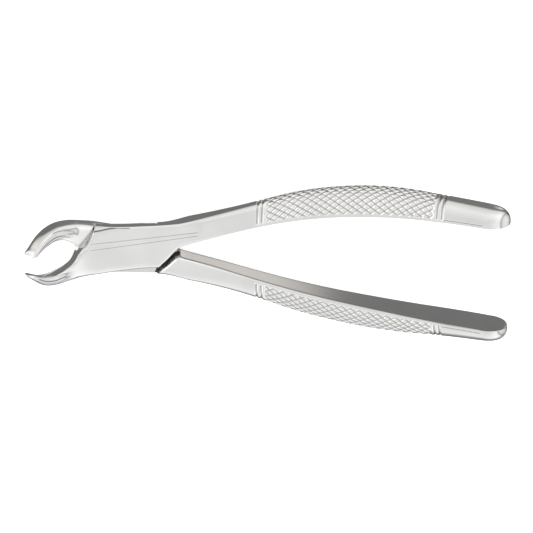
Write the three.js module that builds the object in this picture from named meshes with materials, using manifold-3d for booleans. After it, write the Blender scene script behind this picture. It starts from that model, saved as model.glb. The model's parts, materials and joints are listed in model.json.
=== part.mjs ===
// Extraction forceps: two forged stainless steel halves that cross at a lap joint and turn on one screw.
// Millimetres, +Z up.  X runs from the beaks (-X) to the handle ends (+X), Y is the direction in which the
// beaks and handles open, and Z is the axis of the screw.  Each half is lofted along one curved spine:
// straight through the joint, swept upwards in the beak and gently upwards in the handle.

import * as THREE from 'three';
import { mergeVertices } from 'three/addons/utils/BufferGeometryUtils.js';
import Module from 'manifold-3d';

const wasm = await Module();
wasm.setup();

// ---- Spine: stations are distances along it from the screw axis, positive towards the handle ----
const BEAK_BEND_START = -11;
const BEAK_BEND_RADIUS = 20;
const BEAK_BEND_ANGLE = THREE.MathUtils.degToRad(36);
const BEAK_SWEEP_RADIUS = 250;
const BEAK_TIP = -36.8;
const HANDLE_BEND_START = 22;
const HANDLE_BEND_RADIUS = 273;
const HANDLE_TIP = 127.6;
const HANDLE_END_ROUND = 8.2;
const HANDLE_END_POWER = 2.3;
// Share of the full width and of the full thickness that is left at the very end of a handle.
const HANDLE_END_WIDTH = 0.14;
const HANDLE_END_THICKNESS = 0.35;

// ---- Joint ----
const PLATE_FACE = 3.8;
const GROUND_FROM = -11;
const GROUND_TO = 15;
const LAP_CLEARANCE = 0.1;
const CUT_REACH = 12;
const OVERCUT = 1;

// ---- Screw ----
const HEAD_RADIUS = 3.6;
const HEAD_CLEARANCE = 0.25;
const HEAD_HEIGHT = 1.5;
const HEAD_SUNK = 0.12;
const SHANK_RADIUS = 2.4;
const TURNING_CLEARANCE = 0.2;
const THREAD_CLEARANCE = 0.1;
const BLIND_WALL = 0.9;
const SLOT_WIDTH = 0.8;
const SLOT_DEPTH = 0.7;
const ROUND_SEGMENTS = 48;

// ---- Section of the front half along the spine: [station, value] ----
// The front half holds the +Y handle and the -Y beak, so its low edge is the flat inner face of the handle
// and the convex outer face of the beak, and its high edge is the other way round.
const LOW_EDGE = [
  [-36.8, -5.4], [-33.5, -7.3], [-31, -8.6], [-28.5, -9.5], [-26, -10.1], [-23.6, -10.45], [-19, -10.25],
  [-15.6, -9.85], [-11.2, -9.1], [-5.2, -7.9], [0, -7.35], [5, -6.9], [11.6, -6.0], [13.6, -3],
  [15.6, 0.2], [16.5, 1.3], [18, 1.95], [20, 2.5], [31, 5.75], [41, 8.95], [57.2, 13.05], [70.6, 15.5],
  [82, 16.85], [92.8, 17.85], [104.5, 18.45], [122, 18.7], [128, 18.8],
];
const HIGH_EDGE = [
  [-36.8, -3.2], [-33.5, -4.3], [-31, -5.1], [-28.5, -5.7], [-24.7, -6.2], [-20.9, -5.7], [-19, -4.3],
  [-16.8, -3.6], [-16.2, -2.7], [-15.3, -1.0], [-13.3, 2.9], [-11, 7.15], [-10.3, 7.9], [-5, 8.5],
  [0.9, 8.95], [7, 9.35], [9.5, 9.4], [14.2, 9.45], [17.5, 10.1], [20, 10.85], [31, 13.55],
  [41, 16.5], [57.2, 22.05], [70.6, 24.7], [82, 26.1], [92.8, 26.35], [104.5, 25.3], [113, 24.6],
  [122, 24.0], [128, 22.9],
];
const HALF_WIDTH = [
  [-36.8, 2.1], [-34.3, 2.6], [-28.9, 3.1], [-20, 3.65], [-12, 3.79], [0, 3.9], [14, 3.79], [22, 3.75],
  [41, 3.85], [60, 4.3], [72, 4.7], [92.8, 5.4], [108, 6.0], [128, 6.05],
];
// Share of the section that belongs to its low side, and how square each side is (2 is round).
const LOW_SHARE = [[-36.8, 0.6], [-18, 0.6], [-12, 0.5], [14, 0.5], [26, 0.3], [41, 0.2], [128, 0.2]];
const LOW_SQUARENESS = [[-36.8, 2.2], [-20, 2.4], [-14, 4], [-8, 5], [16, 5], [26, 6], [128, 6]];
const HIGH_SQUARENESS = [
  [-36.8, 2.6], [-20, 3], [-14, 4], [-8, 5], [6, 4.5], [12, 3], [26, 2.7], [41, 2.4], [128, 2.3],
];
// The beak's inner face is hollowed along its middle, and leans in towards its upper rim.
const BEAK_FLUTE = [[-36.8, 0.2], [-33, 0.6], [-24, 0.9], [-19, 0.4], [-16.5, 0], [128, 0]];
const BEAK_LEAN = [[-36.8, 0.7], [-33.5, 1], [-21, 1], [-18, 0.3], [-16, 0], [128, 0]];
// The joint plate's outer edge leans in towards the plate's open face, over the beak side.
const PLATE_LEAN = [[-16, 0], [-11, 0.9], [-5, 0.8], [1, 0.3], [6, 0], [128, 0]];
// Behind the handle-side shoulder the outer edge is eased on the lapped side, and fills out along the shank.
const SHOULDER_EASE = [[6, 0], [8, 1.4], [10, 1.3], [16, 0], [128, 0]];

// ---- Lap cut of the front half, seen from +Z: the shoulders are the corners nearest the screw ----
const LAP_OUTLINE = [
  [8.6, 10.5], [10.6, 8.3], [14.4, 4.2], [17.1, 2.3], [18.5, 1.7], [20, 0], [20, -12],
  [-8.3, -10.66], [-10.3, -8.5], [-15.3, -3.1], [-17.6, -0.6], [-19, 3], [-19, 12],
];

// ---- Loft ----
const SECTION_POINTS = 24;
// Evenly spaced sections between two stations, closer together where the outline turns quickly.
const SECTION_RUNS = [
  [BEAK_TIP, -30, 4], [-30, -20, 6], [-20, -10, 13], [-10, 9, 6], [9, 20, 12], [20, 100, 14],
  [100, HANDLE_TIP - HANDLE_END_ROUND, 3],
];
// Places of the sections in the rounded end of the handle, as shares of its length.
const END_SECTIONS = [0, 0.35, 0.6, 0.78, 0.9, 0.97, 1];
const WELD_DISTANCE = 1e-5;

// Monotone cubic through [position, value] pairs, flat beyond both ends.
function through(pairs) {
  const last = pairs.length - 1;
  const slope = (i) => (pairs[i + 1][1] - pairs[i][1]) / (pairs[i + 1][0] - pairs[i][0]);
  const tangents = pairs.map((pair, i) => {
    if (i === 0 || i === last) return 0;
    const before = slope(i - 1);
    const after = slope(i);
    return before * after <= 0 ? 0 : (2 * before * after) / (before + after);
  });
  return (position) => {
    if (position <= pairs[0][0]) return pairs[0][1];
    if (position >= pairs[last][0]) return pairs[last][1];
    const i = pairs.findIndex((pair) => pair[0] > position) - 1;
    const span = pairs[i + 1][0] - pairs[i][0];
    const t = (position - pairs[i][0]) / span;
    const fromStart = (1 + 2 * t) * (1 - t) ** 2 * pairs[i][1] + t * (1 - t) ** 2 * span * tangents[i];
    const fromEnd = t * t * (3 - 2 * t) * pairs[i + 1][1] - t * t * (1 - t) * span * tangents[i + 1];
    return fromStart + fromEnd;
  };
}

const lowEdge = through(LOW_EDGE);
const highEdge = through(HIGH_EDGE);
const halfWidth = through(HALF_WIDTH);
const lowShare = through(LOW_SHARE);
const lowSquareness = through(LOW_SQUARENESS);
const highSquareness = through(HIGH_SQUARENESS);
const beakFlute = through(BEAK_FLUTE);
const beakLean = through(BEAK_LEAN);
const plateLean = through(PLATE_LEAN);
const shoulderEase = through(SHOULDER_EASE);

// Place and slope of the spine in the XZ plane at a station.
function spineAt(station) {
  if (station > HANDLE_BEND_START) {
    const angle = (station - HANDLE_BEND_START) / HANDLE_BEND_RADIUS;
    const x = HANDLE_BEND_START + HANDLE_BEND_RADIUS * Math.sin(angle);
    return { x, z: HANDLE_BEND_RADIUS * (1 - Math.cos(angle)), angle };
  }
  if (station >= BEAK_BEND_START) return { x: station, z: 0, angle: 0 };
  const along = BEAK_BEND_START - station;
  const turned = Math.min(along / BEAK_BEND_RADIUS, BEAK_BEND_ANGLE);
  const beyond = along - turned * BEAK_BEND_RADIUS;
  const angle = turned + beyond / BEAK_SWEEP_RADIUS;
  const middle = turned + beyond / BEAK_SWEEP_RADIUS / 2;
  return {
    x: BEAK_BEND_START - BEAK_BEND_RADIUS * Math.sin(turned) - beyond * Math.cos(middle),
    z: BEAK_BEND_RADIUS * (1 - Math.cos(turned)) + beyond * Math.sin(middle),
    angle: -angle,
  };
}

// How much of the full section is left at a station: 1, and less in the rounded end of the handle.
function endFactor(station) {
  const into = Math.max(station - (HANDLE_TIP - HANDLE_END_ROUND), 0) / HANDLE_END_ROUND;
  return Math.max(1 - into ** HANDLE_END_POWER, 0) ** (1 / HANDLE_END_POWER);
}

// One closed section as a list of points, going round the spine.  lapSide is the side of the spine that the
// lap joint is cut from: -1 below, 1 above.
function sectionAt(station, lapSide) {
  const spine = spineAt(station);
  const left = endFactor(station);
  const thickness = HANDLE_END_THICKNESS + (1 - HANDLE_END_THICKNESS) * left;
  const width = HANDLE_END_WIDTH + (1 - HANDLE_END_WIDTH) * left;
  const low = lowEdge(station);
  const high = highEdge(station);
  const middle = low + lowShare(station) * (high - low);
  const points = [];
  for (let i = 0; i < SECTION_POINTS; i += 1) {
    const turn = ((i + 0.5) / SECTION_POINTS) * 2 * Math.PI;
    const up = Math.cos(turn);
    const side = Math.sin(turn);
    const power = 2 / (up > 0 ? highSquareness(station) : lowSquareness(station));
    const reach = up > 0 ? high - middle : middle - low;
    const across = Math.sign(side) * Math.abs(side) ** power;
    const rise = Math.sign(up) * Math.abs(up) ** power;
    let y = middle + rise * reach * thickness;
    if (up > 0) {
      y += beakLean(station) * across * up;
      y -= beakFlute(station) * (1 - across * across);
      y -= plateLean(station) * rise * Math.max(-across * lapSide, 0);
      y -= shoulderEase(station) * rise * Math.max(across * lapSide, 0);
    }
    const w = across * halfWidth(station) * width;
    points.push([spine.x - w * Math.sin(spine.angle), y, spine.z + w * Math.cos(spine.angle)]);
  }
  return points;
}

function steps(from, to, count) {
  return Array.from({ length: count }, (_, i) => from + ((to - from) * i) / count);
}

// Stations of the sections, from the beak tip to the handle tip.
function stations() {
  const rounding = END_SECTIONS.map((share) => HANDLE_TIP - HANDLE_END_ROUND * (1 - share));
  return [...SECTION_RUNS.flatMap(([from, to, count]) => steps(from, to, count)), ...rounding];
}

// Closed loft of the whole half before anything is cut from it; mirrored swaps +Y and -Y.
function loftedHalf(mirrored) {
  const lapSide = mirrored ? 1 : -1;
  const rings = stations().map((station) => sectionAt(station, lapSide));
  const flip = mirrored ? -1 : 1;
  const positions = rings.flat().flatMap(([x, y, z]) => [x, y * flip, z]);
  const ends = [rings[0], rings[rings.length - 1]];
  for (const ring of ends) {
    const sum = ring.reduce((total, point) => total.map((value, k) => value + point[k]), [0, 0, 0]);
    positions.push(sum[0] / ring.length, (sum[1] / ring.length) * flip, sum[2] / ring.length);
  }
  const index = [];
  const face = (a, b, c) => index.push(...(mirrored ? [a, b, c] : [a, c, b]));
  const firstCentre = rings.length * SECTION_POINTS;
  const lastRing = (rings.length - 1) * SECTION_POINTS;
  for (let i = 0; i < SECTION_POINTS; i += 1) {
    const next = (i + 1) % SECTION_POINTS;
    for (let ring = 0; ring < rings.length - 1; ring += 1) {
      const here = ring * SECTION_POINTS;
      const there = here + SECTION_POINTS;
      face(here + i, there + i, there + next);
      face(here + i, there + next, here + next);
    }
    face(firstCentre, i, next);
    face(firstCentre + 1, lastRing + next, lastRing + i);
  }
  const geometry = new THREE.BufferGeometry();
  geometry.setAttribute('position', new THREE.Float32BufferAttribute(positions, 3));
  geometry.setIndex(index);
  return geometry;
}

// ---- Solids ----
function solidOf(geometry) {
  const bare = geometry.clone();
  bare.deleteAttribute('normal');
  bare.deleteAttribute('uv');
  const merged = mergeVertices(bare, WELD_DISTANCE);
  return new wasm.Manifold(new wasm.Mesh({
    numProp: 3,
    vertProperties: merged.attributes.position.array,
    triVerts: Uint32Array.from(merged.index.array),
  }));
}

function geometryOf(solid) {
  const mesh = solid.getMesh();
  const geometry = new THREE.BufferGeometry();
  geometry.setAttribute('position', new THREE.BufferAttribute(mesh.vertProperties, 3));
  geometry.setIndex(new THREE.BufferAttribute(mesh.triVerts, 1));
  geometry.computeVertexNormals();
  return geometry;
}

// Upright cylinder on the screw axis between two heights.
function roundBar(radius, bottom, top) {
  const geometry = new THREE.CylinderGeometry(radius, radius, top - bottom, ROUND_SEGMENTS);
  geometry.rotateX(Math.PI / 2);
  geometry.translate(0, 0, (bottom + top) / 2);
  return solidOf(geometry);
}

// Block between two places along X and two heights, centred on Y = 0.
function block(from, to, depth, bottom, top) {
  const geometry = new THREE.BoxGeometry(to - from, depth, top - bottom);
  geometry.translate((from + to) / 2, 0, (bottom + top) / 2);
  return solidOf(geometry);
}

// Prism over the lap outline between two heights.
function lapPrism(mirrored, bottom, top) {
  const corners = LAP_OUTLINE.map(([x, y]) => new THREE.Vector2(x, mirrored ? -y : y));
  const geometry = new THREE.ExtrudeGeometry(new THREE.Shape(corners), {
    depth: top - bottom,
    bevelEnabled: false,
  });
  geometry.translate(0, 0, bottom);
  return solidOf(geometry);
}

// The joint's two outer faces are ground flat where the forging stands proud of them.
function groundFlat(solid) {
  const above = block(GROUND_FROM, GROUND_TO, 2 * CUT_REACH, PLATE_FACE, PLATE_FACE + OVERCUT);
  const below = block(GROUND_FROM, GROUND_TO, 2 * CUT_REACH, -PLATE_FACE - OVERCUT, -PLATE_FACE);
  return solid.subtract(above).subtract(below);
}

function frontHalf() {
  const blank = groundFlat(solidOf(loftedHalf(false)));
  const lapped = blank.subtract(lapPrism(false, -CUT_REACH, LAP_CLEARANCE));
  return lapped.subtract(roundBar(SHANK_RADIUS + THREAD_CLEARANCE, -OVERCUT, PLATE_FACE - BLIND_WALL));
}

function rearHalf() {
  const blank = groundFlat(solidOf(loftedHalf(true)));
  const lapped = blank.subtract(lapPrism(true, -LAP_CLEARANCE, CUT_REACH));
  const bore = roundBar(SHANK_RADIUS + TURNING_CLEARANCE, -CUT_REACH, OVERCUT);
  const seatHeight = -PLATE_FACE + HEAD_SUNK + HEAD_HEIGHT + HEAD_CLEARANCE;
  const seat = roundBar(HEAD_RADIUS + HEAD_CLEARANCE, -CUT_REACH, seatHeight);
  return lapped.subtract(bore).subtract(seat);
}

function pivotScrew() {
  const underside = -PLATE_FACE + HEAD_SUNK;
  const head = roundBar(HEAD_RADIUS, underside, underside + HEAD_HEIGHT);
  const tip = PLATE_FACE - BLIND_WALL - THREAD_CLEARANCE;
  const shank = roundBar(SHANK_RADIUS, underside + HEAD_HEIGHT / 2, tip);
  const slot = block(-CUT_REACH, CUT_REACH, SLOT_WIDTH, underside - OVERCUT, underside + SLOT_DEPTH);
  return head.add(shank).subtract(slot);
}

// ---- Nodes ----
function steel(color, roughness) {
  return new THREE.MeshStandardMaterial({ color, roughness, metalness: 1 });
}

function node(name, solid, material) {
  const mesh = new THREE.Mesh(geometryOf(solid), material);
  mesh.name = name;
  return mesh;
}

const forceps = new THREE.Group();
forceps.add(node('front_half', frontHalf(), steel('#c9cacb', 0.22)));
forceps.add(node('rear_half', rearHalf(), steel('#bfc0c1', 0.26)));
forceps.add(node('pivot_screw', pivotScrew(), steel('#a9abad', 0.3)));

// The origin is the middle of the object's footprint, on the surface that it lies on.
const bounds = new THREE.Box3().setFromObject(forceps);
const middle = bounds.getCenter(new THREE.Vector3());
forceps.position.set(-middle.x, -middle.y, -bounds.min.z);

export default forceps;
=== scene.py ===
"""Extraction forceps: two lapped stainless steel forgings and their joint screw, lofted finely round the CAD.

Sizes are in millimetres from the screw's axis and the joint's middle plane, as in the CAD source, and the
meshes are turned into metres in the CAD's frame at the end.  Each half is one fine loft along a curved spine,
with its knurled grip, ring grooves and serrated beak cut as real surface, and its lap joint cut by booleans.
"""
import json
import math

import bpy
import numpy as np
from mathutils import Matrix, Vector


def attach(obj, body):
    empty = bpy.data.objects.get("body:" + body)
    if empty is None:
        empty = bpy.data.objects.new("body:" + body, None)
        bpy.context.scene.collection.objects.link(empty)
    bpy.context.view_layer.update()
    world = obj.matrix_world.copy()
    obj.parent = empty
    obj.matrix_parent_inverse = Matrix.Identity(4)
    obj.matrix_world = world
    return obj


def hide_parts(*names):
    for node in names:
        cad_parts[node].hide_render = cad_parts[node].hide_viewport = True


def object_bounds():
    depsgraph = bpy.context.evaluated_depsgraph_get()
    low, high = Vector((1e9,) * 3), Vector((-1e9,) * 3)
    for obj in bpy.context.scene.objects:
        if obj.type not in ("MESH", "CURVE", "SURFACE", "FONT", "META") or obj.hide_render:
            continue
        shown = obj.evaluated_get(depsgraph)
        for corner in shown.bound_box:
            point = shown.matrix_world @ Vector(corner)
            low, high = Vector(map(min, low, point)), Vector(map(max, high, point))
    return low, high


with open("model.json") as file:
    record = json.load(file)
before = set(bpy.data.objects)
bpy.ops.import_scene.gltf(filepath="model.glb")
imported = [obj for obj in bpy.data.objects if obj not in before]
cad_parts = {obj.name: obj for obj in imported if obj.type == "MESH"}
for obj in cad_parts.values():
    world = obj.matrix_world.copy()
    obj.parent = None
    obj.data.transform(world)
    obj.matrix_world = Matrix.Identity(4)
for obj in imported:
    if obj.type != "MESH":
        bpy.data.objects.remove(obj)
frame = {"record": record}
cad_low, cad_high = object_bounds()

MM = 0.001
HINGE = frame["record"]["behaviour"]["joints"][0]
PIVOT = Vector(HINGE["pos_m"])

# ---- Spine: stations are distances along it from the screw axis, positive towards the handle ----
BEAK_BEND_START = -11.0
BEAK_BEND_RADIUS = 20.0
BEAK_BEND_ANGLE = math.radians(43)
BEAK_SWEEP_RADIUS = 70.0
BEAK_TIP = -36.8
HANDLE_BEND_START = 22.0
HANDLE_BEND_RADIUS = 273.0
HANDLE_TIP = 128.8
HANDLE_END_ROUND = 6.6
# Length, power and least share of the rounding of each end, across its width and its thickness.
HANDLE_END_WIDTH = (HANDLE_END_ROUND, 1.9, 0.02)
HANDLE_END_THICKNESS = (4.4, 2.6, 0.12)
TIP_ROUND = 1.2
TIP_WIDTH = (TIP_ROUND, 2.0, 0.7)
TIP_THICKNESS = (TIP_ROUND, 2.0, 0.25)

# ---- Section of the front half along the spine: (station, value) ----
LOW_EDGE = [
    (-36.8, -4.7), (-33.5, -7.2), (-31, -8.9), (-28.5, -9.8), (-26, -10.4), (-23.6, -10.7), (-19, -10.4),
    (-15.6, -9.85), (-11.2, -9.1), (-5.2, -7.9), (0, -7.1), (5, -6.4), (10.8, -5.9), (12.1, -4.6),
    (13.8, -2.9), (15.4, -0.9), (17, 1.0), (18.3, 1.95), (20, 2.5), (31, 5.75), (41, 8.95),
    (57.2, 13.05), (70.6, 15.5), (82, 16.85), (92.8, 17.85), (104.5, 18.45), (122, 18.7), (128, 18.8),
]
HIGH_EDGE = [
    (-36.8, -2.9), (-33.5, -4.5), (-29.9, -6.1), (-25.7, -6.9), (-23.9, -6.5), (-22.1, -6.25), (-20.5, -5.7),
    (-19, -5.1), (-18, -4.3), (-17.4, -3.3), (-16.9, -1.9), (-16.1, -0.6), (-13.6, 2.9), (-11.4, 7.4),
    (-10.5, 8.55), (-5, 9.0), (0.9, 9.1), (7, 9.4), (9.5, 9.5), (14.2, 9.85), (17.5, 10.2), (20, 10.7),
    (31, 13.55), (41, 16.5), (57.2, 22.05), (70.6, 24.7), (82, 26.1), (92.8, 26.35), (104.5, 25.35),
    (113, 24.9), (122, 24.6), (128, 23.6),
]
HALF_WIDTH = [
    (-36.8, 2.6), (-34.3, 2.85), (-28.9, 3.2), (-20, 3.65), (-12, 3.8), (14, 3.8), (22, 3.75),
    (41, 3.85), (60, 4.3), (72, 4.7), (92.8, 5.4), (108, 6.0), (128, 6.05),
]
LOW_SHARE = [(-36.8, 0.6), (-18, 0.6), (-12, 0.5), (14, 0.5), (24, 0.35), (41, 0.1), (128, 0.08)]
LOW_SQUARENESS = [
    (-36.8, 2.4), (-26, 2.6), (-20, 2.8), (-14, 3.6), (-8, 5.5), (8, 7), (12, 9), (26, 6), (128, 5.5),
]
HIGH_SQUARENESS = [
    (-36.8, 2.6), (-24, 3), (-19, 4.5), (-14, 5.5), (-8, 10), (6, 8), (14, 6.5), (22, 4.2), (30, 3.3),
    (41, 2.8), (60, 2.4), (128, 2.15),
]
BEAK_FLUTE = [(-36.8, 0.2), (-33, 0.6), (-24, 0.9), (-19, 0.4), (-16.5, 0), (128, 0)]
BEAK_LEAN = [
    (-36.8, 0.8), (-33.5, 1.4), (-29.9, 2), (-25.7, 2), (-22.1, 1.8), (-20.5, 1.8), (-18, 1.5), (-16.7, 0.7),
    (-15.8, 0), (128, 0),
]
# The joint plate's outer edge has a long chamfer at its open face, which widens towards the beak.
PLATE_LEAN = [(-16, 0), (-12, 1.2), (-10, 1.2), (-5, 0.5), (1, 0), (128, 0)]
PLATE_SLOPE = 0.45
# How far the beak's outline slides along it for each millimetre from its back face to its front.
BEAK_SLIDE = [(-36.8, 0.3), (-22, 0.3), (-14, 0), (128, 0)]
# Behind the handle-side shoulder the outer edge is eased on the lapped side and fills out along the shank.
SHOULDER_EASE = [(4, 0), (8.5, 1.8), (11.5, 1.8), (22, 0), (128, 0)]
# The beak's outer side leans in over its root, on the side that the joint is cut from.
OUTER_LEAN = [(-36.8, 0), (-30, 0.1), (-20, 0.4), (-13, 0.9), (-6, 1.0), (0, 0), (128, 0)]
# How far each edge's keys are rounded into one flowing line, by station.
SOFTENING = [(-36.8, 1.2), (-19, 0.8), (-16, 0.3), (17, 0.3), (26, 3), (40, 5), (112, 5), (128, 1.5)]
GRID_STEP = 0.05
SLOPE_STEP = 0.5
GRID_PAST_TIP = 15
GRID_PAST_END = 25
BLUR_WIDTHS = (0.3, 0.8, 1.5, 3.0, 5.0)

# ---- Joint ----
PLATE_FACE = 3.8
LAP_CLEARANCE = 0.1
CUT_REACH = 12.0
LAP_HANDLE_SIDE = [
    (9.9, 10.6), (10.9, 8.0), (12.2, 6.5), (13.8, 5.1), (16.5, 2.5), (18.3, 1.6), (20, 0), (20, -12),
    (0, -12), (0, 12), (8, 12),
]
LAP_BEAK_SIDE = [
    (0, -12), (-8.3, -12), (-9.5, -10.66), (-11.2, -8.5), (-16.1, -3.1), (-18.3, -0.6), (-19.7, 3),
    (-19.7, 12), (0, 12),
]
# The first points of LAP_HANDLE_SIDE are the shoulder.  A relief groove runs along its foot.
SHOULDER_POINTS = 6
ACROSS_SHOULDER = (0.7, 0.71)
RELIEF_WIDTH = 1.0
RELIEF_DEPTH = 0.5
SHOULDER_CHAMFER = 0.5

# ---- Screw ----
HEAD_RADIUS = 3.6
HEAD_CLEARANCE = 0.12
HEAD_HEIGHT = 1.5
HEAD_SUNK = 0.12
SHANK_RADIUS = 2.4
BORE_RADIUS = 2.6
BLIND_WALL = 0.9
SLOT_WIDTH = 0.8
SLOT_DEPTH = 0.7
SEAT_LEAD = 0.25
HEAD_EDGE = 0.25
THREAD_TURNS = 8
THREAD_DEPTH = 0.16
THREAD_LEAD = 0.3
SHANK_TIP_EDGE = 0.4
ROUND_STEPS = 96

# ---- Grip: a diamond knurl between two pairs of ring grooves ----
KNURL_FROM = 45.8
KNURL_TO = 104.3
KNURL_FADE = 1.2
DIAMOND_LENGTH = 3.1
DIAMOND_WIDTH = 2.25
KNURL_DEPTH = 0.42
KNURL_POWER = 1.9
KNURL_RIM = (0.1, 0.9)
RING_GROOVES = (43.7, 45.3, 105.0, 106.7)
RING_HALF_WIDTH = 0.55
RING_DEPTH = 0.38
RING_POWER = 0.8
RING_MARGIN = 0.6

# ---- Beak: a crease near its front rim on each face, (distance from the rim, half width, from, to), and
# fine hatching between the creases and the rim ----
INNER_CREASE = (0.3, 0.24, -37, -20)
OUTER_CREASE = (1.6, 0.17, -30, -18)
CREASE_DEPTH = 0.12
CREASE_FADE = 3.0
SERRATION_FROM = -37.0
SERRATION_TO = -24.0
SERRATION_PITCH = 0.55
SERRATION_DEPTH = 0.06
# Share of painted shade in the hatching's grooves; the creases get it in full.
HATCH_SHADE = 0.62

# ---- The handle's flat inner face, and how squarely a face must look sideways to be part of it ----
FLAT_FROM = 17.0
FLAT_FACING = 0.93

# ---- Handle end: a fine crease inside the rim of the flat, darkened with painted shade ----
RIM_CREASE_AT = 0.7
RIM_CREASE_HALF = 0.16
RIM_CREASE_FADE = 1.0

# ---- Joint's open face: (y of the facet's edge at each end, slope) and the fine line along each edge, a shallow groove darkened with painted shade ----
FACET_FROM = -14.5
FACET_TO = 26.0
FACET_FADE = 3.0
FACETS = [(2.75, 7.75, 0.044), (0.4, 6.6, 0.035)]
FACET_LINE = 0.19
FACET_LINE_DEPTH = 0.03
FACET_LINE_SHADE = 0.85
# How far out on the section the open face's facets fade in, as shares of its half width.
FACE_BAND = (0.6, 0.9)

# ---- Painted dark reflection lines along rounded edges, colour only, where the normal's w part is near one value: (from, to, fade) ----
EDGE_LINE_AT = 0.7
EDGE_LINE_HALF = 0.2
PLATE_LINE = (-11.5, 2.0, 1.0)
FLAT_LINE = (19.0, 120.0, 3.0)

# ---- Mesh: columns of each side of a section, and the distances between sections ----
HIGH_COLUMNS = 110
LOW_COLUMNS = 80
DENSE = 400
BEAK_STEP = 0.138
CREST_STEP = 0.14
PLATE_STEP = 0.5
SHOULDER_STEP = 0.15
RING_STEP = 0.12
KNURL_STEP = 0.22
TIP_STEP = 0.1
NOSE_STEPS = 40
CREST_FROM = -17.4
PLATE_FROM = -9
SHOULDER_FROM = 9
SHANK_FROM = 18
RINGS_FROM = 42.8
RINGS_LENGTH = 3
SHARP_ANGLE = 38

POLISHED, SATIN, KNURLED, LAPPED, RELIEF_SHADE = range(5)


# ---------------------------------------------------------------- numbers along the spine
def through(pairs):
    """Monotone cubic through (position, value) pairs, flat beyond both ends, for arrays of positions."""
    xs = np.array([pair[0] for pair in pairs], float)
    ys = np.array([pair[1] for pair in pairs], float)
    slopes = np.diff(ys) / np.diff(xs)
    tangents = np.zeros_like(ys)
    same = slopes[:-1] * slopes[1:] > 0
    sums = np.where(same, slopes[:-1] + slopes[1:], 1.0)
    tangents[1:-1] = np.where(same, 2 * slopes[:-1] * slopes[1:] / sums, 0.0)

    def value(position):
        p = np.clip(np.asarray(position, float), xs[0], xs[-1])
        i = np.clip(np.searchsorted(xs, p, side="right") - 1, 0, len(xs) - 2)
        span = xs[i + 1] - xs[i]
        t = (p - xs[i]) / span
        start = (1 + 2 * t) * (1 - t) ** 2 * ys[i] + t * (1 - t) ** 2 * span * tangents[i]
        end = t * t * (3 - 2 * t) * ys[i + 1] - t * t * (1 - t) * span * tangents[i + 1]
        return start + end

    return value


def softened(pairs):
    """The same curve, with its keys rounded off by the local SOFTENING and straight past the beak's tip."""
    grid = np.arange(BEAK_TIP - GRID_PAST_TIP, HANDLE_TIP + GRID_PAST_END, GRID_STEP)
    raw_value = through(pairs)
    tip_slope = (raw_value(BEAK_TIP + SLOPE_STEP) - raw_value(BEAK_TIP)) / SLOPE_STEP
    raw = raw_value(grid) + np.minimum(grid - BEAK_TIP, 0) * tip_slope
    layers = []
    for width in BLUR_WIDTHS:
        reach = int(4 * width / GRID_STEP)
        kernel = np.exp(-0.5 * (np.arange(-reach, reach + 1) * GRID_STEP / width) ** 2)
        layers.append(np.convolve(np.pad(raw, reach, mode="edge"), kernel / kernel.sum(), mode="valid"))
    wanted = through(SOFTENING)(grid)
    level = np.interp(wanted, BLUR_WIDTHS, np.arange(len(BLUR_WIDTHS)))
    lower = np.floor(level).astype(int)
    upper = np.minimum(lower + 1, len(BLUR_WIDTHS) - 1)
    stack = np.array(layers)
    place = np.arange(len(grid))
    smooth = stack[lower, place] * (1 - (level - lower)) + stack[upper, place] * (level - lower)
    return lambda position: np.interp(position, grid, smooth)


low_edge = softened(LOW_EDGE)
high_edge = softened(HIGH_EDGE)
half_width = softened(HALF_WIDTH)
low_share = softened(LOW_SHARE)
low_squareness = through(LOW_SQUARENESS)
high_squareness = through(HIGH_SQUARENESS)
beak_flute = softened(BEAK_FLUTE)
beak_lean = softened(BEAK_LEAN)
beak_slide = through(BEAK_SLIDE)
plate_lean = through(PLATE_LEAN)
shoulder_ease = through(SHOULDER_EASE)
outer_lean = through(OUTER_LEAN)


def smoothstep(low, high, value):
    t = np.clip((value - low) / (high - low), 0, 1)
    return t * t * (3 - 2 * t)


def spine_at(station):
    """(x, z, slope angle) of the spine at one station."""
    if station > HANDLE_BEND_START:
        angle = (station - HANDLE_BEND_START) / HANDLE_BEND_RADIUS
        x = HANDLE_BEND_START + HANDLE_BEND_RADIUS * math.sin(angle)
        return x, HANDLE_BEND_RADIUS * (1 - math.cos(angle)), angle
    if station >= BEAK_BEND_START:
        return station, 0.0, 0.0
    along = BEAK_BEND_START - station
    bent = min(along / BEAK_BEND_RADIUS, BEAK_BEND_ANGLE)
    beyond = along - bent * BEAK_BEND_RADIUS
    middle = bent + beyond / BEAK_SWEEP_RADIUS / 2
    x = BEAK_BEND_START - BEAK_BEND_RADIUS * math.sin(bent) - beyond * math.cos(middle)
    z = BEAK_BEND_RADIUS * (1 - math.cos(bent)) + beyond * math.sin(middle)
    return x, z, -(bent + beyond / BEAK_SWEEP_RADIUS)


def left_of(distance, rounding):
    """Share of a size that is left at a distance from the end that a rounding closes."""
    length, power, least = rounding
    into = min(max(1 - distance / length, 0), 1)
    return least + (1 - least) * (1 - into ** power) ** (1 / power)


def end_shares(station):
    """Shares of the full width and thickness left at a station, in the rounded ends of handle and beak."""
    from_handle, from_tip = HANDLE_TIP - station, station - BEAK_TIP
    width = left_of(from_handle, HANDLE_END_WIDTH) * left_of(from_tip, TIP_WIDTH)
    thickness = left_of(from_handle, HANDLE_END_THICKNESS) * left_of(from_tip, TIP_THICKNESS)
    return width, thickness


# ---------------------------------------------------------------- one section
def even_arc(points, count):
    """count + 1 points at even distances along a dense polyline, and each one's distance from its middle."""
    steps = np.linalg.norm(np.diff(points, axis=0), axis=1)
    run = np.concatenate([[0], np.cumsum(steps)])
    wanted = np.linspace(0, run[-1], count + 1)
    even = np.stack([np.interp(wanted, run, points[:, k]) for k in range(points.shape[1])], axis=1)
    return even, wanted - run[-1] / 2


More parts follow.
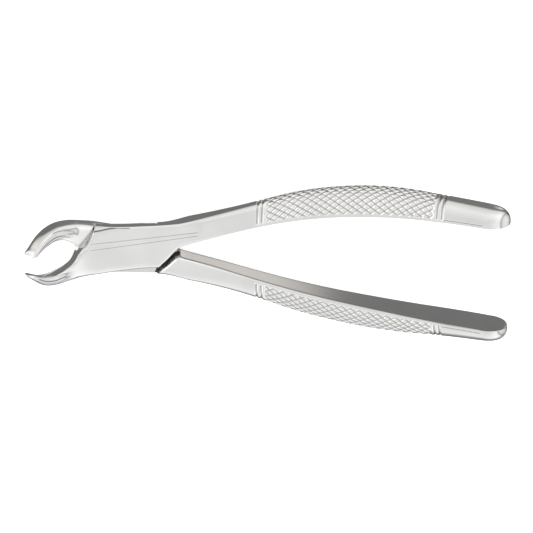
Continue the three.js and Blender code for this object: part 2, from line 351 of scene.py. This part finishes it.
def half_section(station, high_side, lap_side):
    """Even points of one side of the section as rows of (y, w), from its +w rim to its -w rim."""
    width, thickness = end_shares(station)
    turn = np.linspace(math.pi / 2, -math.pi / 2, DENSE)
    up, side = np.cos(turn), np.sin(turn)
    power = 2 / (high_squareness(station) if high_side else low_squareness(station))
    across = np.sign(side) * np.abs(side) ** power
    rise = np.abs(up) ** power
    slid = station + beak_slide(station) * across * half_width(station)
    low, high = low_edge(slid), high_edge(slid)
    middle = low + low_share(station) * (high - low)
    if high_side:
        y = middle + rise * (high - middle) * thickness
        y += beak_lean(station) * across * up - beak_flute(station) * (1 - across ** 2)
        from_face = (1 + across * lap_side) * half_width(station)
        y -= rise * np.maximum(plate_lean(station) - PLATE_SLOPE * from_face, 0)
        y -= shoulder_ease(station) * rise * np.maximum(across * lap_side, 0)
    else:
        y = middle - rise * (middle - low) * thickness
        y += outer_lean(station) * rise * np.maximum(across * lap_side, 0) ** 2
    w = across * half_width(station) * width
    return even_arc(np.stack([y, w], axis=1), HIGH_COLUMNS if high_side else LOW_COLUMNS)


def knurl_height(station, arc, rim_distance):
    """Depth of the diamond knurl below the smooth surface, and how much of a groove each point is in, which
    is also its painted shade.
    """
    along = station / DIAMOND_LENGTH
    round_it = arc / DIAMOND_WIDTH
    groove_shade = np.zeros_like(arc)
    for line in (along + round_it, along - round_it):
        from_groove = np.abs(line - np.round(line)) * 2
        groove_shade = np.maximum(groove_shade, (1 - from_groove) ** KNURL_POWER)
    ends = smoothstep(KNURL_FROM, KNURL_FROM + KNURL_FADE, station)
    ends *= 1 - smoothstep(KNURL_TO - KNURL_FADE, KNURL_TO, station)
    rim = smoothstep(*KNURL_RIM, rim_distance)
    return KNURL_DEPTH * groove_shade * ends * rim, groove_shade * ends * rim


def ring_depth(station, rim_distance):
    depth = 0.0
    for ring in RING_GROOVES:
        offset = abs(station - ring) / RING_HALF_WIDTH
        depth += RING_DEPTH * max(1 - offset, 0) ** RING_POWER
    return depth * smoothstep(*KNURL_RIM, rim_distance)


def bump_at(value, centre, half):
    return np.exp(-((value - centre) / half) ** 2)


def between(value, start, end, fade):
    return smoothstep(start, start + fade, value) * (1 - smoothstep(end - fade, end, value))


def beak_relief(station, from_rim, high_side):
    """Depth of the beak's creases and hatching, and the painted shade that darkens each, by distance from the
    +w rim.
    """
    crease_at, crease_half, crease_from, crease_to = INNER_CREASE if high_side else OUTER_CREASE
    crease = bump_at(from_rim, crease_at, crease_half) * between(station, crease_from, crease_to, CREASE_FADE)
    wave = 0.5 - 0.5 * math.cos(2 * math.pi * station / SERRATION_PITCH)
    hatch = wave * between(station, SERRATION_FROM, SERRATION_TO, CREASE_FADE)
    hatch = hatch * (1 - smoothstep(crease_at - crease_half, crease_at, from_rim))
    return CREASE_DEPTH * crease + SERRATION_DEPTH * hatch, np.maximum(crease, HATCH_SHADE * hatch)


def rim_crease(station, from_rim):
    """A fine line along the handle end, just inside the rim of its flat: a shallow crease darkened with
    painted shade.
    """
    crease = bump_at(from_rim, RIM_CREASE_AT, RIM_CREASE_HALF)
    return crease * between(station, RING_GROOVES[-1], HANDLE_TIP - HANDLE_END_ROUND, RIM_CREASE_FADE)


def face_lines(station, y, w):
    """Height lost on the joint's open face to its two flat facets, and the fine lines between them, shallow
    grooves darkened with painted shade.
    """
    lost = np.zeros_like(y)
    line = np.zeros_like(y)
    near = between(station, FACET_FROM, FACET_TO, FACET_FADE)
    for start_y, end_y, slope in FACETS:
        edge = start_y + (end_y - start_y) * (station - FACET_FROM) / (FACET_TO - FACET_FROM)
        lost += slope * np.maximum(y - edge, 0)
        line = np.maximum(line, bump_at(y, edge, FACET_LINE))
    face = smoothstep(*FACE_BAND, w / half_width(station)) * near
    return lost * face, line * face


def outward(points, direction):
    """Unit normals in the (y, w) plane of points that run from +w to -w."""
    tangent = np.gradient(points, axis=0)
    normal = np.stack([-tangent[:, 1], tangent[:, 0]], axis=1) * direction
    return normal / np.maximum(np.linalg.norm(normal, axis=1, keepdims=True), 1e-9)


def painted_reflection_lines(station, high, low, groove_shade, low_groove_shade):
    """Adds painted dark reflection lines, colour only, along the +w rim of the plate's outer edge and the -w
    rim of the flat.
    """
    plate = bump_at(outward(high, 1.0)[:, 1], EDGE_LINE_AT, EDGE_LINE_HALF) * between(station, *PLATE_LINE)
    flat = bump_at(outward(low, 1.0)[:, 1], EDGE_LINE_AT, EDGE_LINE_HALF) * between(station, *FLAT_LINE)
    return np.maximum(groove_shade, plate), np.maximum(low_groove_shade, flat)


def section(station, lap_side):
    """One closed section: its points as rows of (x, y, z), and each one's share of painted shade, for
    grooves, creases and fine edge lines.
    """
    high, arc = half_section(station, True, lap_side)
    from_rim = arc.max() - np.abs(arc)
    low, low_arc = half_section(station, False, lap_side)
    low_depth, low_groove_shade = np.zeros(len(low)), np.zeros(len(low))
    if station > 0:
        depth, groove_shade = knurl_height(station, arc, from_rim)
        ring = ring_depth(station, from_rim)
        depth = depth + ring
        crease = rim_crease(station, arc + arc.max())
        depth = depth + CREASE_DEPTH * crease
        # The ring grooves and the rim crease are darkened with painted shade as well.
        groove_shade = np.maximum(groove_shade, np.maximum(ring / RING_DEPTH, crease))
    else:
        depth, groove_shade = beak_relief(station, arc + arc.max(), True)
        low_depth, low_groove_shade = beak_relief(station, low_arc + low_arc.max(), False)
    high = high - outward(high, 1.0) * depth[:, None]
    low = low + outward(low, 1.0) * low_depth[:, None]
    if lap_side < 0:
        groove_shade, low_groove_shade = painted_reflection_lines(station, high, low, groove_shade, low_groove_shade)
    flat = np.concatenate([high[:-1], low[:0:-1]])
    painted_shade = np.concatenate([groove_shade[:-1], low_groove_shade[:0:-1]])
    x, z, angle = spine_at(station)
    y, w = flat[:, 0], flat[:, 1]
    if lap_side < 0:
        lost, line = face_lines(station, y, w)
        w = w - lost - FACET_LINE_DEPTH * line
        painted_shade = np.maximum(painted_shade, FACET_LINE_SHADE * line)
    points = np.stack([x - w * math.sin(angle), y, z + w * math.cos(angle)], axis=1)
    return points, painted_shade


def stations():
    def run(start, end, step):
        return np.arange(start, end - step / 2, step)

    round_start = HANDLE_TIP - HANDLE_END_ROUND
    rounding = round_start + HANDLE_END_ROUND * np.sin(np.linspace(0, math.pi / 2, NOSE_STEPS))
    return np.concatenate([
        run(BEAK_TIP, BEAK_TIP + TIP_ROUND, TIP_STEP),
        run(BEAK_TIP + TIP_ROUND, CREST_FROM, BEAK_STEP),
        run(CREST_FROM, PLATE_FROM, CREST_STEP),
        run(PLATE_FROM, SHOULDER_FROM, PLATE_STEP),
        run(SHOULDER_FROM, SHANK_FROM, SHOULDER_STEP),
        run(SHANK_FROM, RINGS_FROM, PLATE_STEP),
        run(RINGS_FROM, KNURL_FROM, RING_STEP),
        run(KNURL_FROM, KNURL_TO, KNURL_STEP),
        run(KNURL_TO, KNURL_TO + RINGS_LENGTH, RING_STEP),
        run(KNURL_TO + RINGS_LENGTH, round_start, PLATE_STEP),
        rounding,
    ])


# ---------------------------------------------------------------- meshes
def to_frame(points):
    """Millimetres from the screw axis to metres in the CAD's frame."""
    return np.asarray(points) * MM + np.array(PIVOT)


def make_object(name, points, faces, materials):
    mesh = bpy.data.meshes.new(name)
    mesh.from_pydata([tuple(point) for point in points], [], faces)
    for material in materials:
        mesh.materials.append(material)
    mesh.update()
    piece = bpy.data.objects.new(name, mesh)
    bpy.context.scene.collection.objects.link(piece)
    return piece


def surface_of(station, column, sideways):
    """The finish of the loft's face at a station and column, by how squarely it faces sideways (0 to 1)."""
    if column < HIGH_COLUMNS:
        gripped = RING_GROOVES[0] - RING_MARGIN < station < RING_GROOVES[-1] + RING_MARGIN
        return KNURLED if gripped else POLISHED
    return SATIN if station > FLAT_FROM and sideways > FLAT_FACING else POLISHED


def lofted_half(name, mirrored, materials):
    """The whole half before its joint is cut."""
    places = stations()
    lap_side = 1 if mirrored else -1
    rings = [section(place, lap_side) for place in places]
    columns = HIGH_COLUMNS + LOW_COLUMNS
    points = np.concatenate([ring[0] for ring in rings])
    painted_shade = np.concatenate([ring[1] for ring in rings] + [np.zeros(2)])
    ends = [rings[0][0].mean(axis=0), rings[-1][0].mean(axis=0)]
    points = np.concatenate([points, ends])
    if mirrored:
        points = points * np.array([1, -1, 1])
    faces = []
    for r in range(len(rings) - 1):
        for c in range(columns):
            n = (c + 1) % columns
            a, b = r * columns, (r + 1) * columns
            faces.append((a + c, a + n, b + n, b + c))
    first, last = len(rings) * columns, (len(rings) - 1) * columns
    for c in range(columns):
        n = (c + 1) % columns
        faces.append((first, n, c))
        faces.append((first + 1, last + c, last + n))
    if mirrored:
        faces = [face[::-1] for face in faces]
    piece = make_object(name, to_frame(points), faces, materials)
    for polygon in piece.data.polygons:
        ring, column = divmod(polygon.index, columns)
        if ring < len(rings) - 1:
            polygon.material_index = surface_of(places[ring], column, abs(polygon.normal.y))
    # Each point's share of painted shade, for grooves, creases and fine edge lines, which the steel's colour
    # reads.
    attribute = piece.data.attributes.new("groove_shade", "FLOAT", "POINT")
    attribute.data.foreach_set("value", painted_shade.astype(np.float32))
    return piece


def prism(name, outline, bottom, top, materials, finish, shift=(0, 0)):
    """Prism over an outline, whose top is shifted sideways if it is to lean."""
    count = len(outline)
    points = [(x, y, bottom) for x, y in outline] + [(x + shift[0], y + shift[1], top) for x, y in outline]
    faces = [tuple(range(count))[::-1], tuple(range(count, 2 * count))]
    for i in range(count):
        n = (i + 1) % count
        faces.append((i, n, count + n, count + i))
    area = sum(outline[i][0] * outline[(i + 1) % count][1] - outline[(i + 1) % count][0] * outline[i][1]
               for i in range(count))
    if area < 0:
        faces = [face[::-1] for face in faces]
    piece = make_object(name, to_frame(points), faces, materials)
    piece.data.polygons.foreach_set("material_index", [finish] * len(faces))
    return piece


def turned(name, profile, materials):
    """Solid of revolution about the screw axis; profile is (radius, height) from axis to axis, upwards."""
    rings = profile[1:-1]
    points = [(0, 0, profile[0][1]), (0, 0, profile[-1][1])]
    for radius, height in rings:
        for i in range(ROUND_STEPS):
            angle = 2 * math.pi * i / ROUND_STEPS
            points.append((radius * math.cos(angle), radius * math.sin(angle), height))
    faces = []
    for i in range(ROUND_STEPS):
        n = (i + 1) % ROUND_STEPS
        faces.append((0, 2 + n, 2 + i))
        top = 2 + (len(rings) - 1) * ROUND_STEPS
        faces.append((1, top + i, top + n))
        for r in range(len(rings) - 1):
            a, b = 2 + r * ROUND_STEPS, 2 + (r + 1) * ROUND_STEPS
            faces.append((a + i, a + n, b + n, b + i))
    return make_object(name, to_frame(points), faces, materials)


def cut(piece, cutter):
    modifier = piece.modifiers.new("cut", "BOOLEAN")
    modifier.operation = "DIFFERENCE"
    modifier.solver = "EXACT"
    modifier.object = cutter
    bpy.context.view_layer.objects.active = piece
    with bpy.context.temp_override(object=piece, active_object=piece, selected_objects=[piece]):
        bpy.ops.object.modifier_apply(modifier=modifier.name)
    bpy.data.objects.remove(cutter, do_unlink=True)


def finish_shading(piece):
    piece.data.polygons.foreach_set("use_smooth", [True] * len(piece.data.polygons))
    piece.data.set_sharp_from_angle(angle=math.radians(SHARP_ANGLE))
    piece.data.update()


def shoulder_strip(width):
    """The strip of a width along the handle-side shoulder, on the pocket's side of it."""
    shoulder = LAP_HANDLE_SIDE[:SHOULDER_POINTS]
    across_x, across_y = (width * part for part in ACROSS_SHOULDER)
    return shoulder + [(x - across_x, y - across_y) for x, y in reversed(shoulder)]


def cut_lap(piece, materials, side):
    """Cuts the lap joint out of the half on one side of the middle plane: -1 below it, 1 above it."""
    clearance = side * LAP_CLEARANCE
    levels = sorted((-clearance, side * CUT_REACH))
    deep = sorted((-clearance - side * RELIEF_DEPTH, side * CUT_REACH))
    for outline, finish, (bottom, top) in (
        (LAP_HANDLE_SIDE, LAPPED, levels),
        (LAP_BEAK_SIDE, LAPPED, levels),
        # The relief groove's faces take the near-black relief finish, which is painted shade.
        (shoulder_strip(RELIEF_WIDTH), RELIEF_SHADE, deep),
    ):
        flipped = [(x, -side * y) for x, y in outline]
        cut(piece, prism("lap", flipped, bottom, top, materials, finish))
    if side > 0:
        edge = PLATE_FACE - SHOULDER_CHAMFER
        strip = [(x, -y) for x, y in shoulder_strip(RELIEF_WIDTH)]
        shift = [2 * SHOULDER_CHAMFER * part for part in (ACROSS_SHOULDER[0], -ACROSS_SHOULDER[1])]
        cut(piece, prism("chamfer", strip, edge, edge + 2 * SHOULDER_CHAMFER, materials, POLISHED, shift))


def front_half(materials):
    piece = lofted_half("front_half_steel", False, materials)
    cut_lap(piece, materials, -1)
    deep = PLATE_FACE - BLIND_WALL
    hole = [(0, -1), (BORE_RADIUS, -1), (BORE_RADIUS, deep), (0, deep)]
    cut(piece, turned("hole", hole, materials))
    return piece


def rear_half(materials):
    piece = lofted_half("rear_half_steel", True, materials)
    cut_lap(piece, materials, 1)
    seat = HEAD_RADIUS + HEAD_CLEARANCE
    floor_height = -PLATE_FACE + HEAD_SUNK + HEAD_HEIGHT + HEAD_CLEARANCE
    profile = [
        (0, -PLATE_FACE - 1), (seat + SEAT_LEAD + 1, -PLATE_FACE - 1), (seat, -PLATE_FACE + SEAT_LEAD),
        (seat, floor_height), (BORE_RADIUS, floor_height), (BORE_RADIUS, 1), (0, 1),
    ]
    cut(piece, turned("seat", profile, materials))
    return piece


def pivot_screw(materials):
    under = -PLATE_FACE + HEAD_SUNK
    shoulder = under + HEAD_HEIGHT
    tip = PLATE_FACE - BLIND_WALL - HEAD_CLEARANCE
    profile = [
        (0, under), (HEAD_RADIUS - HEAD_EDGE, under), (HEAD_RADIUS, under + HEAD_EDGE),
        (HEAD_RADIUS, shoulder - HEAD_EDGE), (HEAD_RADIUS - HEAD_EDGE, shoulder), (SHANK_RADIUS, shoulder),
    ]
    thread_start = LAP_CLEARANCE + THREAD_LEAD
    thread_end = tip - SHANK_TIP_EDGE
    pitch = (thread_end - thread_start) / THREAD_TURNS
    for turn in range(THREAD_TURNS):
        base = thread_start + turn * pitch
        profile += [(SHANK_RADIUS, base), (SHANK_RADIUS - THREAD_DEPTH, base + pitch / 2)]
    profile += [(SHANK_RADIUS, thread_end), (SHANK_RADIUS - SHANK_TIP_EDGE, tip), (0, tip)]
    piece = turned("pivot_screw_steel", profile, materials)
    half = SLOT_WIDTH / 2
    slot = [(-CUT_REACH, -half), (CUT_REACH, -half), (CUT_REACH, half), (-CUT_REACH, half)]
    cut(piece, prism("slot", slot, under - 1, under + SLOT_DEPTH, materials, POLISHED))
    return piece


# ---------------------------------------------------------------- materials
# How much of its colour the steel keeps where it is dullest.
DULL_SHARES = (0.94, 0.935, 0.93)
# The part of a noise's range that is used, and what it does to the roughness.
NOISE_RANGE = (0.3, 0.7)
ROUGHNESS_SHARES = (0.8, 1.25)
BROAD_SCALE = 90
# The groove values where the painted shade of a groove begins and where it is full.
GROOVE_SHADE_RANGE = (0.45, 0.95)
GRAIN_DEPTH = 0.00002


def share_between(nodes, links, value, start, end, smooth=False):
    """How far a value is from start to end, held within 0 and 1."""
    share = nodes.new("ShaderNodeMapRange")
    if smooth:
        share.interpolation_type = "SMOOTHSTEP"
    share.inputs["From Min"].default_value = start
    share.inputs["From Max"].default_value = end
    links.new(value, share.inputs["Value"])
    return share.outputs["Result"]


def steel(name, color, roughness, stretch, scale, grain, groove_shade_color=None):
    """Stainless steel: broad noise drives its tone, and noise stretched along X its roughness and relief. A
    groove shade colour, where given, is painted shade mixed in by each point's groove share.
    """
    material = bpy.data.materials.new(name)
    material.use_nodes = True
    nodes, links = material.node_tree.nodes, material.node_tree.links
    shader = nodes["Principled BSDF"]
    shader.inputs["Metallic"].default_value = 1.0
    place = nodes.new("ShaderNodeTexCoord")
    mapping = nodes.new("ShaderNodeMapping")
    mapping.inputs["Scale"].default_value = (1 / stretch, 1, 1)
    links.new(place.outputs["Object"], mapping.inputs["Vector"])
    fine = nodes.new("ShaderNodeTexNoise")
    fine.inputs["Scale"].default_value = scale
    fine.inputs["Detail"].default_value = 4
    links.new(mapping.outputs["Vector"], fine.inputs["Vector"])
    broad = nodes.new("ShaderNodeTexNoise")
    broad.inputs["Scale"].default_value = BROAD_SCALE
    broad.inputs["Detail"].default_value = 2
    links.new(place.outputs["Object"], broad.inputs["Vector"])

    rough = nodes.new("ShaderNodeMapRange")
    rough.inputs["From Min"].default_value = NOISE_RANGE[0]
    rough.inputs["From Max"].default_value = NOISE_RANGE[1]
    rough.inputs["To Min"].default_value = roughness * ROUGHNESS_SHARES[0]
    rough.inputs["To Max"].default_value = roughness * ROUGHNESS_SHARES[1]
    links.new(fine.outputs["Fac"], rough.inputs["Value"])
    links.new(rough.outputs["Result"], shader.inputs["Roughness"])

    tone = nodes.new("ShaderNodeValToRGB")
    duller = [part * share for part, share in zip(color, DULL_SHARES)]
    tone.color_ramp.elements[0].position = NOISE_RANGE[0]
    tone.color_ramp.elements[0].color = (*duller, 1)
    tone.color_ramp.elements[1].position = NOISE_RANGE[1]
    tone.color_ramp.elements[1].color = (*color, 1)
    links.new(broad.outputs["Fac"], tone.inputs["Fac"])
    color_out = tone.outputs["Color"]
    if groove_shade_color:
        groove_shade = nodes.new("ShaderNodeAttribute")
        groove_shade.attribute_name = "groove_shade"
        mix = nodes.new("ShaderNodeMix")
        mix.data_type = "RGBA"
        mix.inputs["B"].default_value = (*groove_shade_color, 1)
        links.new(share_between(nodes, links, groove_shade.outputs["Fac"], *GROOVE_SHADE_RANGE), mix.inputs["Factor"])
        links.new(color_out, mix.inputs["A"])
        color_out = mix.outputs["Result"]
    links.new(color_out, shader.inputs["Base Color"])

    bump = nodes.new("ShaderNodeBump")
    bump.inputs["Strength"].default_value = grain
    bump.inputs["Distance"].default_value = GRAIN_DEPTH
    links.new(fine.outputs["Fac"], bump.inputs["Height"])
    links.new(bump.outputs["Normal"], shader.inputs["Normal"])
    return material


# ---------------------------------------------------------------- studio
# The dome's colour by height, from straight down (0) to straight up (1).
WORLD_BY_HEIGHT = [
    (0.0, (0.2, 0.2, 0.2)), (0.18, (0.2, 0.2, 0.195)), (0.21, (0.5, 0.47, 0.43)), (0.26, (0.78, 0.76, 0.73)),
    (0.42, (0.9, 0.9, 0.9)), (0.6, (1.05, 1.05, 1.06)), (0.8, (0.97, 0.97, 0.96)),
    (0.93, (0.86, 0.86, 0.855)), (1.0, (0.88, 0.88, 0.88)),
]
# How much of it is left along the instrument, from the beak end (0) to the handle end (1).
WORLD_BY_LENGTH = [
    (0.0, 0.75), (0.04, 1.2), (0.12, 1.2), (0.19, 0.9), (0.32, 0.92), (0.44, 0.95), (0.5, 1.0),
    (0.58, 1.02), (0.66, 1.12), (0.78, 1.15), (0.83, 0.92), (0.855, 0.45), (0.87, 0.45), (0.89, 0.82),
    (0.94, 0.85), (1.0, 0.95),
]
# Where the two patches of the dome begin and end, as parts of the direction looked in.
GLOW_STARTS = (0.14, 0.27)
GLOW_ENDS = (0.42, 0.34)
GLOW_BELOW = (-0.74, -0.84)
GLOW_SIDE = (0.18, 0.28)
GLOW_COLOR = (0.56, 0.52, 0.48)
SHADE_SIDE = (-0.5, -0.8)
SHADE_BELOW = (0.2, -0.3)
SHADE_COLOR = (0.36, 0.355, 0.39)
FLOOR_HALF = 2.0
FLOOR_GAP = 0.0002
FLOOR_GLOW = 0.6


def ramp_of(nodes, stops):
    """A colour ramp node with (position, grey or colour) stops."""
    ramp = nodes.new("ShaderNodeValToRGB")
    while len(ramp.color_ramp.elements) < len(stops):
        ramp.color_ramp.elements.new(0.5)
    for element, (position, color) in zip(ramp.color_ramp.elements, stops):
        element.position = position
        element.color = (*color, 1) if isinstance(color, tuple) else (color, color, color, 1)
    return ramp


def product(nodes, links, first, second):
    times = nodes.new("ShaderNodeMath")
    times.operation = "MULTIPLY"
    links.new(first, times.inputs[0])
    links.new(second, times.inputs[1])
    return times.outputs["Value"]


def blend(nodes, links, kind, first, second):
    """Two colours added or multiplied in full."""
    mix = nodes.new("ShaderNodeMix")
    mix.data_type = "RGBA"
    mix.blend_type = kind
    mix.inputs["Factor"].default_value = 1.0
    links.new(first, mix.inputs["A"])
    links.new(second, mix.inputs["B"])
    return mix.outputs["Result"]


def floor_glow(nodes, links, split):
    """The warm patch low on the +Y side of the dome, a little towards the handles."""
    patch = share_between(nodes, links, split.outputs["X"], *GLOW_STARTS, smooth=True)
    for axis, limits in (("Z", GLOW_BELOW), ("X", GLOW_ENDS), ("Y", GLOW_SIDE)):
        patch = product(nodes, links, patch, share_between(nodes, links, split.outputs[axis], *limits))
    tint = ramp_of(nodes, [(0, (0, 0, 0)), (1, GLOW_COLOR)])
    links.new(patch, tint.inputs["Fac"])
    return tint.outputs["Color"]


def side_shade(nodes, links, split):
    """The dim, slightly lilac part low on the -Y side of the dome."""
    side = share_between(nodes, links, split.outputs["Y"], *SHADE_SIDE, smooth=True)
    low = share_between(nodes, links, split.outputs["Z"], *SHADE_BELOW, smooth=True)
    lilac = ramp_of(nodes, [(0, (1, 1, 1)), (1, SHADE_COLOR)])
    links.new(product(nodes, links, side, low), lilac.inputs["Fac"])
    return lilac.outputs["Color"]


def studio_world():
    """A soft white dome with a grey floor side and a few darker strips, which the polished steel mirrors."""
    world = bpy.data.worlds.new("studio")
    bpy.context.scene.world = world
    world.use_nodes = True
    nodes, links = world.node_tree.nodes, world.node_tree.links
    nodes.clear()
    output = nodes.new("ShaderNodeOutputWorld")
    place = nodes.new("ShaderNodeTexCoord")
    split = nodes.new("ShaderNodeSeparateXYZ")
    links.new(place.outputs["Generated"], split.inputs["Vector"])

    height = ramp_of(nodes, WORLD_BY_HEIGHT)
    links.new(share_between(nodes, links, split.outputs["Z"], -1, 1), height.inputs["Fac"])
    length = ramp_of(nodes, WORLD_BY_LENGTH)
    links.new(share_between(nodes, links, split.outputs["X"], -1, 1), length.inputs["Fac"])
    color = blend(nodes, links, "MULTIPLY", height.outputs["Color"], length.outputs["Color"])
    color = blend(nodes, links, "ADD", color, floor_glow(nodes, links, split))
    color = blend(nodes, links, "MULTIPLY", color, side_shade(nodes, links, split))

    seen = nodes.new("ShaderNodeBackground")
    seen.inputs["Color"].default_value = (1, 1, 1, 1)
    lit = nodes.new("ShaderNodeBackground")
    links.new(color, lit.inputs["Color"])
    path = nodes.new("ShaderNodeLightPath")
    choose = nodes.new("ShaderNodeMixShader")
    links.new(path.outputs["Is Camera Ray"], choose.inputs["Fac"])
    links.new(lit.outputs["Background"], choose.inputs[1])
    links.new(seen.outputs["Background"], choose.inputs[2])
    links.new(choose.outputs["Shader"], output.inputs["Surface"])


def pale_floor():
    half = FLOOR_HALF
    points = [(-half, -half, 0), (half, -half, 0), (half, half, 0), (-half, half, 0)]
    material = bpy.data.materials.new("pale_floor")
    material.use_nodes = True
    shader = material.node_tree.nodes["Principled BSDF"]
    shader.inputs["Base Color"].default_value = (0.9, 0.9, 0.9, 1)
    shader.inputs["Roughness"].default_value = 0.9
    shader.inputs["Emission Color"].default_value = (1, 1, 1, 1)
    shader.inputs["Emission Strength"].default_value = FLOOR_GLOW
    floor = make_object("floor", points, [(0, 1, 2, 3)], [material])
    floor.location.z = cad_low[2] - FLOOR_GAP
    floor.visible_glossy = False


# ---------------------------------------------------------------- camera
CAMERA_TILT = math.radians(27)
CAMERA_TURN = math.radians(-1.5)
CAMERA_DISTANCE = 2.0
SENSOR_WIDTH = 36
VIEW_WIDTH = 0.1773
# The middle of the view, to the right of the screw axis and below it.
VIEW_RIGHT = 0.0467
VIEW_BELOW = 0.0062


def camera():
    data = bpy.data.cameras.new("camera")
    data.sensor_width = SENSOR_WIDTH
    data.lens = data.sensor_width * CAMERA_DISTANCE / VIEW_WIDTH
    data.clip_start = 0.05
    data.clip_end = 20
    eye = bpy.data.objects.new("camera", data)
    bpy.context.scene.collection.objects.link(eye)
    bpy.context.scene.camera = eye
    toward = Vector((
        math.sin(CAMERA_TURN) * math.cos(CAMERA_TILT),
        math.sin(CAMERA_TILT),
        math.cos(CAMERA_TURN) * math.cos(CAMERA_TILT),
    )).normalized()
    right = Vector((0, math.cos(CAMERA_TILT), -math.sin(CAMERA_TILT)))
    right = right.cross(toward).normalized()
    up = toward.cross(right)
    target = PIVOT + right * VIEW_RIGHT - up * VIEW_BELOW
    turn = Matrix((right, up, toward)).transposed().to_4x4()
    turn.translation = target + toward * CAMERA_DISTANCE
    eye.matrix_world = turn


# ---------------------------------------------------------------- assembly
# The last colour of the polished and knurled steel is painted shade, mixed into their grooves, creases and
# fine edge lines.
polished = steel("polished_steel", (0.87, 0.87, 0.865), 0.1, 12, 2500, 0.2, (0.13, 0.125, 0.12))
satin = steel("satin_ground_steel", (0.8, 0.8, 0.8), 0.13, 30, 4000, 0.2)
knurled = steel("knurled_steel", (0.9, 0.9, 0.9), 0.13, 3, 2500, 0.2, (0.4, 0.385, 0.36))
lapped = steel("lapped_steel", (0.8, 0.79, 0.77), 0.25, 4, 3000, 0.3)
# The relief steel is near black: painted shade for the dark of the narrow gap along the shoulder's foot.
relief_shade = steel("relief_painted_shade", (0.1, 0.1, 0.1), 0.5, 4, 3000, 0.3)
screw_steel = steel("screw_steel", (0.74, 0.74, 0.745), 0.28, 1, 3000, 0.5)

finishes = [polished, satin, knurled, lapped, relief_shade]
front = front_half(finishes)
rear = rear_half(finishes)
screw = pivot_screw([screw_steel] * len(finishes))
for piece, node, body, slot_name in (
    (front, "front_half", "front", "polished_steel"),
    (rear, "rear_half", "rear", "polished_steel"),
    (screw, "pivot_screw", "front", "screw_steel"),
):
    finish_shading(piece)
    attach(piece, body)
    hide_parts(node)

studio_world()
pale_floor()
camera()
bpy.context.scene.view_settings.view_transform = "Standard"
